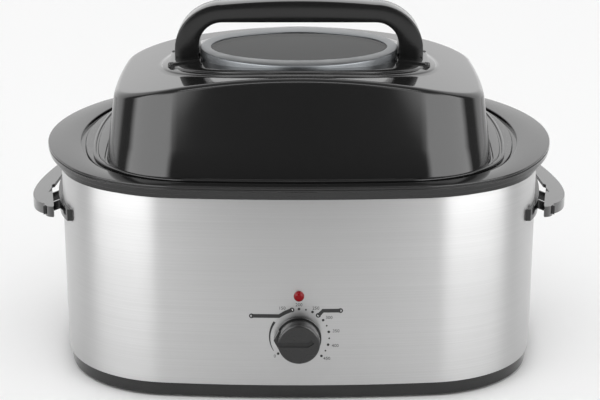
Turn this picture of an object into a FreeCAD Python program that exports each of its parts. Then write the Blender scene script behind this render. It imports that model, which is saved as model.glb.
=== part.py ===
# Electric roaster oven, an oval countertop cooker with a lift-off lid.
# Millimetres, +Z up, front towards -Y, +X to the right of someone facing it.
# The origin is on the counter, under the middle of the whole object's box.
import FreeCAD, Part

import math
import os

import Sketcher

V = FreeCAD.Vector
FORWARD = FreeCAD.Rotation(V(1, 0, 0), 90)      # turns +Z towards the front
SIDEWAYS = FreeCAD.Rotation(V(0, 1, 0), 90)     # turns +Z towards +X

doc = FreeCAD.newDocument("roaster_oven")
sheet = doc.addObject("Spreadsheet::Sheet", "dims")

# Every outline is a bowed oblong: half length, half depth, then the radii of its
# corners, of its bowed ends and of its bowed front and back.
DRIVING = {
    "rim_length": 284, "rim_depth": 214, "rim_corner": 150, "rim_end": 258, "rim_front": 1475,
    "shell_length": 268, "shell_depth": 203.5, "shell_corner": 127, "shell_end": 440, "shell_front": 1412,
    "mouth_length": 247, "mouth_depth": 199, "mouth_corner": 122, "mouth_end": 300, "mouth_front": 1350,
    "pan_length": 220, "pan_depth": 182, "pan_corner": 75, "pan_end": 600, "pan_front": 1340,
    "dome_length": 211.5, "dome_depth": 187, "dome_corner": 82.5, "dome_end": 1540, "dome_front": 1880,
    "crest_length": 199, "crest_depth": 134, "crest_corner": 74, "crest_end": 1370, "crest_front": 1060,
    "brim_length": 230.5, "brim_depth": 196.8, "brim_corner": 118.5, "brim_end": 627, "brim_front": 1340,
    "lip_length": 241.5, "lip_depth": 197, "lip_corner": 118, "lip_end": 330, "lip_front": 1348,
    # levels above the counter
    "base_bottom": 2, "shell_bottom": 17.5, "shell_top": 232, "rim_bottom": 227, "rim_top": 241.8,
    "ledge_top": 237.5, "well_floor": 34, "pan_floor": 44, "rack_level": 60, "bail_top": 150, "flange_level": 240.6,
    "crest_level": 340, "crown_top": 336.5, "bar_top": 395, "bar_underside": 372,
    # sheet and wall thicknesses
    "steel_wall": 1, "rim_wall": 3, "base_wall": 3, "pan_wall": 1.4, "lid_wall": 1.8, "plate": 0.8,
    # clearances
    "slack": 0.4, "running": 0.1,
    # heating
    "taper": 9, "heater_bottom": 95, "heater_height": 90, "batt_thick": 9.5,
    # controls
    "knob_level": 73, "knob_radius": 23.7, "knob_nose": 26.6, "knob_reach": 225, "lamp_level": 119.5,
    "shaft_radius": 3, "bush_radius": 4.7, "gland_level": 52, "gland_reach": 215.5, "gland_bore": 3.8,
    # lid
    "crown_radius": 780, "shoulder": 9, "plateau_length": 155, "plateau_depth": 128, "step": 1.5, "bezel_top": 342.5,
    "ring_length": 111, "ring_depth": 101, "glass_length": 99, "glass_depth": 73.5,
    "handle_length": 139.5, "handle_inside": 111.5, "handle_width": 35,
    # side handles
    "grip_reach": 307, "grip_span": 120, "grip_root": 188, "grip_edge": 172, "grip_drop": 12,
    "strap_screw_level": 184,
}


class Size(float):
    """A number that keeps the sheet formula it was worked out with."""

    def __new__(cls, value, text=None):
        size = float.__new__(cls, value)
        size.text = text or repr(float(value))
        return size

    def __add__(self, other):
        return Size(float(self) + float(other), "(%s + %s)" % (self.text, Size.of(other).text))

    def __radd__(self, other):
        return Size.of(other) + self

    def __sub__(self, other):
        return Size(float(self) - float(other), "(%s - %s)" % (self.text, Size.of(other).text))

    def __rsub__(self, other):
        return Size.of(other) - self

    def __mul__(self, other):
        return Size(float(self) * float(other), "(%s * %s)" % (self.text, Size.of(other).text))

    def __rmul__(self, other):
        return self * other

    def __truediv__(self, other):
        return Size(float(self) / float(other), "(%s / %s)" % (self.text, Size.of(other).text))

    def __neg__(self):
        return Size(-float(self), "(0 - %s)" % self.text)

    @staticmethod
    def of(value):
        return value if isinstance(value, Size) else Size(value)


def fill_sheet():
    for row, (alias, value) in enumerate(DRIVING.items(), 1):
        sheet.set("A%d" % row, alias)
        sheet.set("B%d" % row, str(value))
        sheet.setAlias("B%d" % row, alias)
    doc.recompute()


def dim(alias):
    return Size(DRIVING[alias], "dims." + alias)


def outline(family):
    return [dim(family + part) for part in ("_length", "_depth", "_corner", "_end", "_front")]


def grown(shape, amount):
    """The outline at a steady distance outside another, or inside it if negative."""
    return [Size.of(value) + amount for value in shape]


def bind(thing, name, size):
    if isinstance(size, Size):
        thing.setExpression(name, size.text)
    else:
        setattr(thing, name, size)


# Sketches


def origin_plane(body, role):
    return [feature for feature in body.Origin.OriginFeatures if feature.Role == role][0]


class Pen:
    """Draws on one sketch, then ties everything down in a single step."""

    def __init__(self, sketch):
        self.sketch = sketch
        self.rules = []
        self.sizes = {}

    def add(self, geometry):
        return self.sketch.addGeometry(geometry, False)

    def rule(self, kind, *where):
        self.rules.append(Sketcher.Constraint(kind, *where))

    def size(self, kind, where, size):
        size = Size.of(size)
        self.sizes[len(self.rules)] = size
        self.rules.append(Sketcher.Constraint(kind, *where, float(size)))

    def fix_point(self, geometry, point, x, y):
        for kind, axis, value in (("DistanceX", -2, x), ("DistanceY", -1, y)):
            if abs(value) < 1e-9:
                self.rule("PointOnObject", geometry, point, axis)
            else:
                self.size(kind, (-1, 1, geometry, point), value)

    def finish(self):
        self.sketch.addConstraint(self.rules)
        for index, size in self.sizes.items():
            if "dims" in size.text:
                self.sketch.setExpression("Constraints[%d]" % index, size.text)


def new_sketch(body, name, role, offset, drawings):
    sketch = body.newObject("Sketcher::SketchObject", name)
    sketch.AttachmentSupport = [(origin_plane(body, role), "")]
    sketch.MapMode = "FlatFace"
    sketch.setExpression("AttachmentOffset.Base.z", Size.of(offset).text)
    pen = Pen(sketch)
    for draw in drawings:
        draw(pen)
    pen.finish()
    return sketch


def corner_centre(length, depth, corner, end, front):
    """Centre of the corner arc that touches the end arc and the front arc."""
    to_front = V(0, depth - front, 0)
    to_end = V(length - end, 0, 0)
    span = (to_end - to_front).Length
    along = (to_end - to_front) / span
    reach = ((front - corner) ** 2 - (end - corner) ** 2 + span ** 2) / (2 * span)
    rise = math.sqrt((front - corner) ** 2 - reach ** 2)
    return to_front + along * reach + V(along.y, -along.x, 0) * rise


def oblong(shape):
    """Eight tangent arcs: ends, corners, front and back, alike about both axes."""

    def draw(pen):
        length, depth, corner, end, front = [float(value) for value in shape]
        centre = corner_centre(length, depth, corner, end, front)
        near = math.atan2(centre.y, centre.x - length + end)
        far = math.atan2(centre.y - depth + front, centre.x)
        half = math.pi
        arcs = [
            (length - end, 0, end, -near, near),
            (centre.x, centre.y, corner, near, far),
            (0, depth - front, front, far, half - far),
            (-centre.x, centre.y, corner, half - far, half - near),
            (end - length, 0, end, half - near, half + near),
            (-centre.x, -centre.y, corner, half + near, half + far),
            (0, front - depth, front, half + far, 2 * half - far),
            (centre.x, -centre.y, corner, 2 * half - far, 2 * half - near),
        ]
        ids = [pen.add(Part.ArcOfCircle(Part.Circle(V(x, y, 0), V(0, 0, 1), radius), start, stop))
               for x, y, radius, start, stop in arcs]
        for index in range(8):
            pen.rule("Tangent", ids[index], 2, ids[(index + 1) % 8], 1)
        for index in (0, 4):
            pen.rule("PointOnObject", ids[index], 3, -1)
            pen.rule("PointOnObject", ids[index + 2], 3, -2)
        for one, other in ((1, 3), (1, 5), (1, 7), (0, 4), (2, 6)):
            pen.rule("Equal", ids[one], ids[other])
        for index, radius in enumerate((shape[3], shape[2], shape[4])):
            pen.size("Radius", (ids[index],), radius)
        pen.size("DistanceX", (-1, 1, ids[0], 3), shape[0] - shape[3])
        pen.size("DistanceX", (-1, 1, ids[4], 3), shape[3] - shape[0])
        pen.size("DistanceY", (-1, 1, ids[2], 3), shape[1] - shape[4])
        pen.size("DistanceY", (-1, 1, ids[6], 3), shape[4] - shape[1])

    return draw


def circle(x, y, radius):
    def draw(pen):
        index = pen.add(Part.Circle(V(x, y, 0), V(0, 0, 1), float(radius)))
        pen.size("Radius", (index,), radius)
        pen.fix_point(index, 3, x, y)

    return draw


def loop(corners):
    """A closed loop through corners (x, y, bend): bend is the radius of the arc to the
    next corner, positive where it bulges outwards on an anticlockwise loop, 0 if straight."""

    def draw(pen):
        ids = []
        for index, (x, y, bend) in enumerate(corners):
            start = V(x, y, 0)
            stop = V(*corners[(index + 1) % len(corners)][:2], 0)
            if bend:
                half = (stop - start) / 2
                rise = abs(bend) - math.sqrt(bend ** 2 - half.Length ** 2)
                outwards = V(half.y, -half.x, 0).normalize() * math.copysign(rise, bend)
                ids.append(pen.add(Part.Arc(start, start + half + outwards, stop)))
            else:
                ids.append(pen.add(Part.LineSegment(start, stop)))
        for index, (x, y, bend) in enumerate(corners):
            here = loop_end(pen.sketch, ids[index], V(x, y, 0))
            before = loop_end(pen.sketch, ids[index - 1], V(x, y, 0))
            pen.rule("Coincident", ids[index], here, ids[index - 1], before)
            pen.fix_point(ids[index], here, x, y)
            if bend:
                pen.size("Radius", (ids[index],), bend if bend > 0 else -bend)

    return draw


def loop_end(sketch, geometry, corner):
    """Which end of a line or arc lies on a corner: 1 for its start, 2 for its end."""
    start = sketch.getPoint(geometry, 1)
    stop = sketch.getPoint(geometry, 2)
    return 1 if (start - corner).Length < (stop - corner).Length else 2


def rectangle(x0, y0, x1, y1):
    return loop([(x0, y0, 0), (x1, y0, 0), (x1, y1, 0), (x0, y1, 0)])


# Features inside a body


def new_body(label):
    body = doc.addObject("PartDesign::Body", label)
    body.Label = label
    body.setExpression("Placement.Base.y", SHIFT.text)
    return body


def pad(body, name, offset, height, drawings, role="XY_Plane", midplane=False):
    feature = body.newObject("PartDesign::Pad", name)
    feature.Profile = new_sketch(body, name + "_sketch", role, offset, drawings)
    bind(feature, "Length", Size.of(height))
    feature.Midplane = midplane
    return feature


def pocket(body, name, offset, depth, drawings, role="XY_Plane", midplane=False):
    """Cuts towards the sketch plane's positive side, or both ways if midplane."""
    doc.recompute()
    volume = body.Shape.Volume
    feature = body.newObject("PartDesign::Pocket", name)
    feature.Profile = new_sketch(body, name + "_sketch", role, offset, drawings)
    bind(feature, "Length", Size.of(depth))
    feature.Midplane = midplane
    feature.Reversed = not midplane
    doc.recompute()
    if body.Shape.Volume > volume - 1e-3:
        raise RuntimeError(name + " cuts nothing")
    return feature


def loft(body, kind, name, sections):
    """Ruled loft through outlines given as (level, outline)."""
    feature = body.newObject("PartDesign::" + kind, name)
    sketches = []
    for index, (level, shape) in enumerate(sections):
        label = "%s_%d" % (name, index)
        sketches.append(new_sketch(body, label, "XY_Plane", level, [oblong(shape)]))
    feature.Profile = sketches[0]
    feature.Sections = sketches[1:]
    feature.Ruled = True
    return feature


def fillet(body, name, radius, test):
    """Rounds the edges of the body so far whose middle passes the test."""
    doc.recompute()
    base = body.Tip
    names = []
    for index, edge in enumerate(base.Shape.Edges, 1):
        middle = edge.valueAt((edge.FirstParameter + edge.LastParameter) / 2)
        if test(edge, middle):
            names.append("Edge%d" % index)
    feature = body.newObject("PartDesign::Fillet", name)
    feature.Base = (base, names)
    bind(feature, "Radius", Size.of(radius))
    doc.recompute()
    return feature


def level_edge(edge, level):
    box = edge.BoundBox
    return abs(box.ZMin - level) < 0.05 and abs(box.ZMax - level) < 0.05


def on_outline(point, shape):
    """Whether a point lies on one of the three arcs that a quarter of an outline has."""
    length, depth, corner, end, front = [float(value) for value in shape]
    here = V(abs(point.x), abs(point.y), 0)
    arcs = [(V(length - end, 0, 0), end), (corner_centre(length, depth, corner, end, front), corner),
            (V(0, depth - front, 0), front)]
    return any(abs((here - centre).Length - radius) < 0.02 for centre, radius in arcs)


# Whole objects from primitives


def solid(kind, name, x, y, z, turn=None, **sizes):
    """A primitive with its own placement, shifted with the rest of the oven."""
    thing = doc.addObject("Part::" + kind, name)
    for key, size in sizes.items():
        bind(thing, key, size if isinstance(size, Size) else Size(size))
    if turn:
        thing.Placement = FreeCAD.Placement(V(0, 0, 0), turn)
    for axis, value in (("x", x), ("y", Size.of(y) + SHIFT), ("z", z)):
        thing.setExpression("Placement.Base." + axis, Size.of(value).text)
    return thing


def cylinder(name, x, y, z, radius, height, turn=None):
    return solid("Cylinder", name, x, y, z, turn, Radius=radius, Height=height)


def combine(kind, label, members):
    thing = doc.addObject("Part::" + kind, label)
    thing.Label = label
    if kind == "Compound":
        thing.Links = members
    elif kind == "MultiFuse":
        thing.Shapes = members
    else:
        thing.Base, thing.Tool = members
    return thing


fill_sheet()
RIM = outline("rim")
SHELL = outline("shell")
MOUTH = outline("mouth")
PAN = outline("pan")
DOME = outline("dome")
CREST = outline("crest")
BRIM = outline("brim")
PAN_LIP = outline("lip")
SHIFT = (dim("knob_reach") - dim("gland_reach")) / 2
WELL = grown(PAN, dim("pan_wall") + 3 + dim("steel_wall"))
WELL_TOP = dim("ledge_top") - dim("rim_wall")
BASE_OUTER = grown(SHELL, -3)
BASE_INNER = grown(BASE_OUTER, -dim("base_wall"))
SCREW_SPOTS = [(-257.5, 0), (257.5, 0), (-130, 187), (130, 187), (-130, -187), (130, -187)]
GLAND_X = -60
HANDLE_FOOT = 123
STRAP_SCREW_Y = 66
WELL_SCREW_SPOTS = [(-233.5, -50), (233.5, -50), (-233.5, 50), (233.5, 50), (0, -193.3), (0, 193.3)]
FOOT_SPOTS = [(-180, -120), (180, -120), (-180, 120), (180, 120)]


def well_inset(level):
    """How far the tapered well wall has come in at a level."""
    return dim("taper") * (WELL_TOP - level) / (WELL_TOP - dim("well_floor"))


def ring_around_well(label, clearance, thickness, bottom, height):
    """A tapered band that follows the outside of the well."""
    body = new_body(label)
    top = bottom + height
    inner_low = grown(WELL, clearance - well_inset(bottom))
    inner_high = grown(WELL, clearance - well_inset(top))
    loft(body, "AdditiveLoft", label + "_outside",
         [(bottom, grown(inner_low, thickness)), (top, grown(inner_high, thickness))])
    loft(body, "SubtractiveLoft", label + "_inside", [(bottom, inner_low), (top, inner_high)])
    return body


def bowl(label, low, high, bend):
    """A tapered block with rounded bottom edges; low and high are (level, outline)."""
    body = new_body(label)
    loft(body, "AdditiveLoft", label + "_walls", [low, high])
    fillet(body, label + "_bend", bend, lambda edge, middle: level_edge(edge, low[0]))
    return body


# Housing


def base():
    body = new_body("base")
    bottom = dim("base_bottom")
    pad(body, "skirt", bottom, dim("shell_bottom") - bottom, [oblong(BASE_OUTER), oblong(BASE_INNER)])
    inside = grown(SHELL, -dim("steel_wall") - dim("slack"))
    pad(body, "upstand", dim("shell_bottom"), 8, [oblong(inside), oblong(BASE_INNER)])
    floor = bottom + 5
    spots = [circle(x, y, 6) for x, y in SCREW_SPOTS]
    pad(body, "bosses", floor, dim("shell_bottom") - floor, spots)
    pocket(body, "pilot_holes", floor, 9, [circle(x, y, 1.9) for x, y in SCREW_SPOTS])
    fillet(body, "rounded_foot", 2.4,
           lambda edge, middle: level_edge(edge, bottom) and on_outline(middle, BASE_OUTER))
    return body


def bottom_plate():
    body = new_body("bottom_plate")
    level = dim("base_bottom") + 4
    pad(body, "sheet", level, dim("plate"), [oblong(grown(BASE_INNER, -0.5))])
    holes = [circle(x, y, 2.2) for x, y in SCREW_SPOTS] + [circle(x, y, 4) for x, y in FOOT_SPOTS]
    pocket(body, "fixing_holes", level - 1, 4, holes)
    slots = []
    for column in range(-3, 4):
        for row in (-1, 1):
            x = column * 40
            slots.append(rectangle(x - 3, row * 60 - 22, x + 3, row * 60 + 22))
    pocket(body, "vent_slots", level - 1, 4, slots)
    return body


def feet():
    members = []
    for index, (x, y) in enumerate(FOOT_SPOTS):
        rest = solid("Cone", "foot_pad_%d" % index, x, y, 0, Radius1=11, Radius2=13, Height=6)
        stem = cylinder("foot_stem_%d" % index, x, y, 5, 3.8, 4)
        members.append(combine("MultiFuse", "foot_%d" % index, [rest, stem]))
    return combine("Compound", "feet", members)


def screw(name, x, y, z, turn, head, shank):
    """A pan-head screw: head and shank are (radius, length), the shank along +Z."""
    top = cylinder(name + "_head", x, y, z, head[0], head[1], turn)
    pin = cylinder(name + "_shank", x, y, z, shank[0], head[1] + shank[1], turn)
    return combine("MultiFuse", name, [top, pin])


def base_screws():
    level = dim("base_bottom") + 4 - 2
    made = [screw("base_screw_%d" % index, x, y, level, None, (3.8, 2), (1.8, 9))
            for index, (x, y) in enumerate(SCREW_SPOTS)]
    return combine("Compound", "base_screws", made)


def outer_wrap():
    body = new_body("outer_wrap")
    bottom = dim("shell_bottom")
    inside = grown(SHELL, -dim("steel_wall"))
    pad(body, "sheet_ring", bottom, dim("shell_top") - bottom, [oblong(SHELL), oblong(inside)])
    holes = [circle(0, dim("knob_level"), dim("bush_radius") + 0.3), circle(0, dim("lamp_level"), 4.6)]
    pocket(body, "control_holes", dim("shell_depth") - 8, 20, holes, "XZ_Plane")
    pocket(body, "cord_hole", -dim("shell_depth") - 8, 16, [circle(GLAND_X, dim("gland_level"), 7.2)],
           "XZ_Plane")
    spots = [circle(side * STRAP_SCREW_Y, dim("strap_screw_level"), 2.4) for side in (-1, 1)]
    pocket(body, "handle_holes", 0, 600, spots, "YZ_Plane", midplane=True)
    return body


def top_rim():
    body = new_body("top_rim")
    top = dim("rim_top")
    ledge = dim("ledge_top")
    wall = dim("rim_wall")
    pad(body, "deck", ledge, top - ledge, [oblong(RIM), oblong(MOUTH)])
    pad(body, "side_band", dim("rim_bottom") + 5, top - dim("rim_bottom") - 6,
        [oblong(grown(RIM, -0.8)), oblong(grown(RIM, -6.4))])
    skirt = grown(RIM, -4.3)
    around_steel = grown(SHELL, dim("slack"))
    pad(body, "undercut", dim("rim_bottom"), 7, [oblong(skirt), oblong(grown(RIM, -8))])
    pad(body, "underside", dim("rim_bottom"), 2, [oblong(grown(skirt, -0.5)), oblong(around_steel)])
    pad(body, "inner_wall", WELL_TOP, top - WELL_TOP, [oblong(grown(MOUTH, wall)), oblong(MOUTH)])
    pad(body, "ledge", WELL_TOP, wall, [oblong(grown(MOUTH, 1)), oblong(grown(WELL, 1.8))])
    pocket(body, "ledge_pilots", WELL_TOP - 1, 3.8, [circle(x, y, 1.5) for x, y in WELL_SCREW_SPOTS])
    pocket(body, "steel_space", dim("rim_bottom") - 1, 6.2, [oblong(grown(SHELL, 0.3))])
    pocket(body, "shadow_line", top - 3.2, 1, [oblong(grown(RIM, 1)), oblong(grown(RIM, -0.9))])
    fillet(body, "soft_edge", 1.6, lambda edge, middle: level_edge(edge, top))
    return body


def cooking_well():
    floor = dim("well_floor")
    wall = dim("steel_wall")
    low = grown(WELL, -dim("taper"))
    outside = bowl("well_outside", (floor, low), (WELL_TOP - 1.2, WELL), 26)
    pad(outside, "well_flange", WELL_TOP - 1.2, 1.2, [oblong(grown(MOUTH, 1))])
    pocket(outside, "flange_holes", WELL_TOP - 1.2, 2, [circle(x, y, 1.8) for x, y in WELL_SCREW_SPOTS])
    inside = bowl("well_inside", (floor + wall, grown(low, -wall)), (WELL_TOP, grown(WELL, -wall)), 25)
    return combine("Cut", "cooking_well", [outside, inside])


def well_screws():
    """Driven up from below, through the well's flange into the rim's ledge."""
    start = WELL_TOP - 3.2
    made = [screw("well_screw_%d" % index, x, y, start, None, (3, 2), (1.5, 3.9))
            for index, (x, y) in enumerate(WELL_SCREW_SPOTS)]
    return combine("Compound", "well_screws", made)


def heater_band():
    return ring_around_well("heater_band", 0.2, 1.8, dim("heater_bottom"), dim("heater_height"))


def insulation():
    body = ring_around_well("insulation", 2.8, dim("batt_thick"), Size(62), Size(165))
    pocket(body, "control_window", 0, 230, [rectangle(-34, 50, 34, 136)], "XZ_Plane")
    return body


def heat_shield():
    body = new_body("heat_shield")
    tray = grown(SHELL, -34)
    pad(body, "tray", 25, 6, [oblong(tray)])
    pocket(body, "dish", 25 + dim("plate"), 20, [oblong(grown(tray, -dim("plate")))])
    return body


def shield_spacers():
    """Four short posts that hold the heat shield under the well."""
    made = []
    for index, (x, y) in enumerate([(-150, -60), (150, -60), (-150, 60), (150, 60)]):
        made.append(cylinder("shield_post_%d" % index, x, y, 25 + dim("plate"), 5, 34 - 25 - dim("plate")))
    return combine("Compound", "shield_spacers", made)


def thermostat_body():
    body = new_body("thermostat_body")
    level = dim("knob_level")
    pad(body, "case", dim("shell_depth") - 19, 16.5, [rectangle(-18, level - 17, 18, level + 17)],
        "XZ_Plane")
    pad(body, "bush", dim("shell_depth") - 4, 6.2, [circle(0, level, dim("bush_radius"))], "XZ_Plane")
    bore = circle(0, level, dim("shaft_radius") + dim("running"))
    pocket(body, "bush_bore", dim("shell_depth") - 14, 30, [bore], "XZ_Plane")
    pad(body, "terminals", dim("shell_depth") - 16, 3,
        [rectangle(-15, level + 16, -9, level + 25), rectangle(9, level + 16, 15, level + 25)], "XZ_Plane")
    return body


def thermostat_bracket():
    body = new_body("thermostat_bracket")
    level = dim("knob_level")
    pad(body, "strap_plate", dim("shell_depth") - 2.5, 1, [rectangle(-24, level - 12, 24, level + 12)],
        "XZ_Plane")
    pocket(body, "bush_hole", dim("shell_depth") - 6, 12, [circle(0, level, dim("bush_radius") + 0.2)],
           "XZ_Plane")
    return body


def thermostat_nut():
    body = new_body("thermostat_nut")
    level = dim("knob_level")
    points = []
    for step in range(6):
        angle = math.radians(60 * step)
        points.append((8 * math.cos(angle), 8 * math.sin(angle) + level, 0))
    hole = circle(0, level, dim("bush_radius"))
    pad(body, "hexagon", dim("shell_depth"), 2, [loop(points), hole], "XZ_Plane")
    return body


def thermostat_bulb():
    bulb = cylinder("bulb", 44, -184, 58.2, 2.6, 70, SIDEWAYS)
    tube = cylinder("capillary", 18, -185.6, 58.2, 0.9, 30, SIDEWAYS)
    return combine("MultiFuse", "thermostat_bulb", [bulb, tube])


def indicator_lamp():
    can = cylinder("lamp_can", 0, -dim("shell_depth") + 16, dim("lamp_level"), 4.2, 14, FORWARD)
    can.Label = "indicator_lamp"
    return can


def indicator_lens():
    body = new_body("indicator_lens")
    level = dim("lamp_level")
    pad(body, "stem", dim("shell_depth") - 1.8, 4, [circle(0, level, 4.5)], "XZ_Plane")
    pad(body, "jewel", dim("shell_depth"), 4.6, [circle(0, level, 5.6)], "XZ_Plane")
    front = -float(dim("shell_depth")) - 4.6
    fillet(body, "jewel_dome", 3.6,
           lambda edge, middle: abs(edge.BoundBox.YMin - front) < 0.05 and edge.BoundBox.YLength < 0.1)
    return body


def terminal_block():
    body = new_body("terminal_block")
    pad(body, "block", dim("base_bottom") + 4 + dim("plate"), 12, [rectangle(-150, 130, -96, 152)])
    wells = [circle(x, 141, 3) for x in (-141, -129, -117, -105)]
    pocket(body, "clamp_wells", 12, 20, wells)
    return body


def thermal_fuse():
    made = cylinder("fuse", -16, 40, dim("well_floor") - 2.02, 2, 32, SIDEWAYS)
    made.Label = "thermal_fuse"
    return made


def cord_gland():
    """The bush that the lead comes through, at the back near the counter."""
    body = new_body("cord_gland")
    reach = dim("gland_reach")
    level = dim("gland_level")
    pad(body, "barrel", -reach, 26, [circle(GLAND_X, level, 7)], "XZ_Plane")
    pad(body, "collar", -reach + 9, 3.8, [circle(GLAND_X, level, 10.5)], "XZ_Plane")
    pad(body, "lock_collar", -reach + 15, 5, [circle(GLAND_X, level, 9.5)], "XZ_Plane")
    pocket(body, "cord_way", -reach - 4, 40, [circle(GLAND_X, level, dim("gland_bore"))], "XZ_Plane")
    return body


# Side handles


def prism(label, outlines, bottom, top):
    body = new_body(label)
    pad(body, label + "_block", bottom, top - bottom, outlines)
    return body


def sloping_slab(label, thickness):
    """The layer under the grip's sloping top, as deep as the thickness."""
    body = new_body(label)
    near = dim("shell_length") - 60
    far = dim("grip_reach") + 8
    high = dim("grip_root") + (dim("grip_root") - dim("grip_edge")) * 1.4
    low = dim("grip_edge") - 3
    corners = [(near, high, 0), (near, high - thickness, 0), (far, low - thickness, 0), (far, low, 0)]
    pad(body, label + "_layer", 0, 300, [loop(corners)], "XZ_Plane", midplane=True)
    return body


def side_handle_right():
    """A drooping wing, open beside the steel, moulded in one with the strap it hangs from."""
    span = dim("grip_span")
    reach = dim("grip_reach")
    plan = [(254, -span, 60), (reach - 25, 40 - span, 170), (reach - 17, span - 40, 60), (254, span, 0)]
    inner = [(250, 5 - span, 60), (reach - 28.5, 42 - span, 166), (reach - 20.5, span - 42, 60),
             (250, span - 5, 0)]
    shelf = combine("Common", "grip_shelf", [prism("grip_plan", [loop(plan)], Size(140), Size(220)),
                                             sloping_slab("shelf_layer", 4)])
    wall = combine("Cut", "lip_wall", [prism("lip_plan", [loop(plan)], Size(140), Size(220)),
                                       prism("lip_space", [loop(inner)], Size(130), Size(230))])
    lip = combine("Common", "grip_lip", [wall, sloping_slab("lip_layer", dim("grip_drop"))])
    wing = combine("MultiFuse", "wing", [shelf, lip])
    front_slot = [(256, -128, 0), (268, -128, 0), (268, -104, 0), (284, -8, 0), (262, -8, 0), (250, -90, 0)]
    back_slot = [(x, -y - 44 * (y > -20), 0) for x, y, bend in reversed(front_slot)]
    gaps = prism("finger_slots", [loop(front_slot)], Size(140), Size(220))
    back = prism("back_slot", [loop(back_slot)], Size(140), Size(220))
    opened = combine("Cut", "opened_wing", [combine("Cut", "half_open_wing", [wing, gaps]), back])
    strap_ring = prism("strap_ring", [oblong(grown(SHELL, 4.5)), oblong(SHELL)], Size(178), Size(191))
    strap_zone = prism("strap_zone", [rectangle(190, -130, 320, 130)], Size(140), Size(220))
    strap = combine("Common", "strap", [strap_ring, strap_zone])
    ribs = prism("rib_plan", [rectangle(240, y - 1.5, 282, y + 1.5) for y in (-88, -46, 60, 92)],
                 Size(140), Size(220))
    ribs = combine("Common", "grip_ribs", [ribs, sloping_slab("rib_layer", 10)])
    joined = combine("MultiFuse", "joined_handle", [opened, strap, ribs])
    pilots = [cylinder("strap_pilot_%d" % side, dim("shell_length") - 6, side * STRAP_SCREW_Y,
                       dim("strap_screw_level"), 2, 5.2, SIDEWAYS) for side in (-1, 1)]
    steel_space = prism("steel_space", [oblong(grown(SHELL, 0.05))], Size(120), Size(240))
    taken = combine("MultiFuse", "strap_cutters", [steel_space] + pilots)
    return combine("Cut", "side_handle_right", [joined, taken])


def side_handle_left(right):
    left = doc.addObject("Part::Mirroring", "side_handle_left")
    left.Label = "side_handle_left"
    left.Source = right
    left.Normal = V(1, 0, 0)
    return left


def side_handle_screws():
    made = []
    for side in (-1, 1):
        for y in (-STRAP_SCREW_Y, STRAP_SCREW_Y):
            x = side * (dim("shell_length") - 9)
            turn = SIDEWAYS if side > 0 else FreeCAD.Rotation(V(0, 1, 0), -90)
            name = "handle_screw_%d" % len(made)
            made.append(screw(name, x, y, dim("strap_screw_level"), turn, (4, 2.4), (2, 5.7)))
    return combine("Compound", "side_handle_screws", made)


# Controls that turn


def control_knob():
    body = new_body("control_knob")
    level = dim("knob_level")
    radius = dim("knob_radius")
    nose = dim("knob_nose")
    face = dim("knob_reach")
    back = dim("shell_depth") + 0.8
    pad(body, "skirt", back, 4, [circle(0, level, radius)], "XZ_Plane")
    angle = math.acos(float(radius) / float(nose))
    touch = (-float(radius) * math.cos(angle), float(radius) * math.sin(angle))
    wedge = [(touch[0], level + touch[1], 0), (-nose, level, 0), (touch[0], level - touch[1], 0),
             (4, level - touch[1], 0), (4, level + touch[1], 0)]
    pad(body, "nose", back, 9, [loop(wedge)], "XZ_Plane")
    pad(body, "grip", back, face - back, [circle(0, level, radius - 1.6)], "XZ_Plane")
    fillet(body, "soft_face", 2.6, lambda edge, middle: abs(edge.BoundBox.YMax + 225) < 0.05)
    groove = [(-30, level - 2.6, 0), (10, level - 2.6, 0), (16, level + 1.4, 0), (13, level + 4.6, 0),
              (9, level + 2.6, 0), (-30, level + 2.6, 0)]
    pocket(body, "pointer_groove", face - 2, 4, [loop(groove)], "XZ_Plane")
    pocket(body, "nut_recess", back - 1, 5, [circle(0, level, 10.5)], "XZ_Plane")
    pocket(body, "shaft_bore", back - 1, 14, [circle(0, level, dim("shaft_radius"))], "XZ_Plane")
    return body


def thermostat_shaft():
    start = dim("shell_depth") - 9
    stop = dim("shell_depth") + 0.8 + 13
    made = cylinder("shaft", 0, -start, dim("knob_level"), dim("shaft_radius"), stop - start, FORWARD)
    made.Label = "thermostat_shaft"
    return made


# Pan and rack


def roasting_pan():
    floor = dim("pan_floor")
    wall = dim("pan_wall")
    top = dim("ledge_top") + 0.4
    outer_high = grown(PAN, wall)
    outer_low = grown(outer_high, -dim("taper"))
    outside = bowl("pan_outside", (floor, outer_low), (top, outer_high), 24)
    pad(outside, "pan_flange", top, 2.4, [oblong(PAN_LIP)])
    fillet(outside, "flange_round", 1, lambda edge, middle: on_outline(middle, PAN_LIP)
           and level_edge(edge, top + 2.4))
    inside = bowl("pan_inside", (floor + wall, grown(outer_low, -wall)), (top + 2.4, PAN), 22.6)
    return combine("Cut", "roasting_pan", [outside, inside])


def rack_frame():
    """Welded wire: an oval hoop on six short legs, under a row of parallel cross wires."""
    hoop = grown(PAN, -30)
    middle = [float(value) for value in grown(hoop, -2)]
    level = dim("rack_level")
    floor = dim("pan_floor") + dim("pan_wall") + dim("running")
    made = [prism("rack_hoop", [oblong(hoop), oblong(grown(hoop, -4))], level - 4, level)]
    for x in (-110, 0, 110):
        for side in (-1, 1):
            made.append(cylinder("rack_leg_%d" % len(made), x, side * half_width(middle, x), floor, 2,
                                 level - 2 - floor))
    for x in range(-162, 163, 27):
        half = half_width(middle, x)
        made.append(cylinder("cross_wire_%d" % len(made), x, -half, level + 1, 1.5, 2 * half,
                             FreeCAD.Rotation(V(1, 0, 0), -90)))
    for y in (-60, 60):
        half = half_length(middle, y)
        made.append(cylinder("long_wire_%d" % len(made), -half, y, level - 2, 1.6, 2 * half, SIDEWAYS))
    return combine("MultiFuse", "rack_frame", made)


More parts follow.
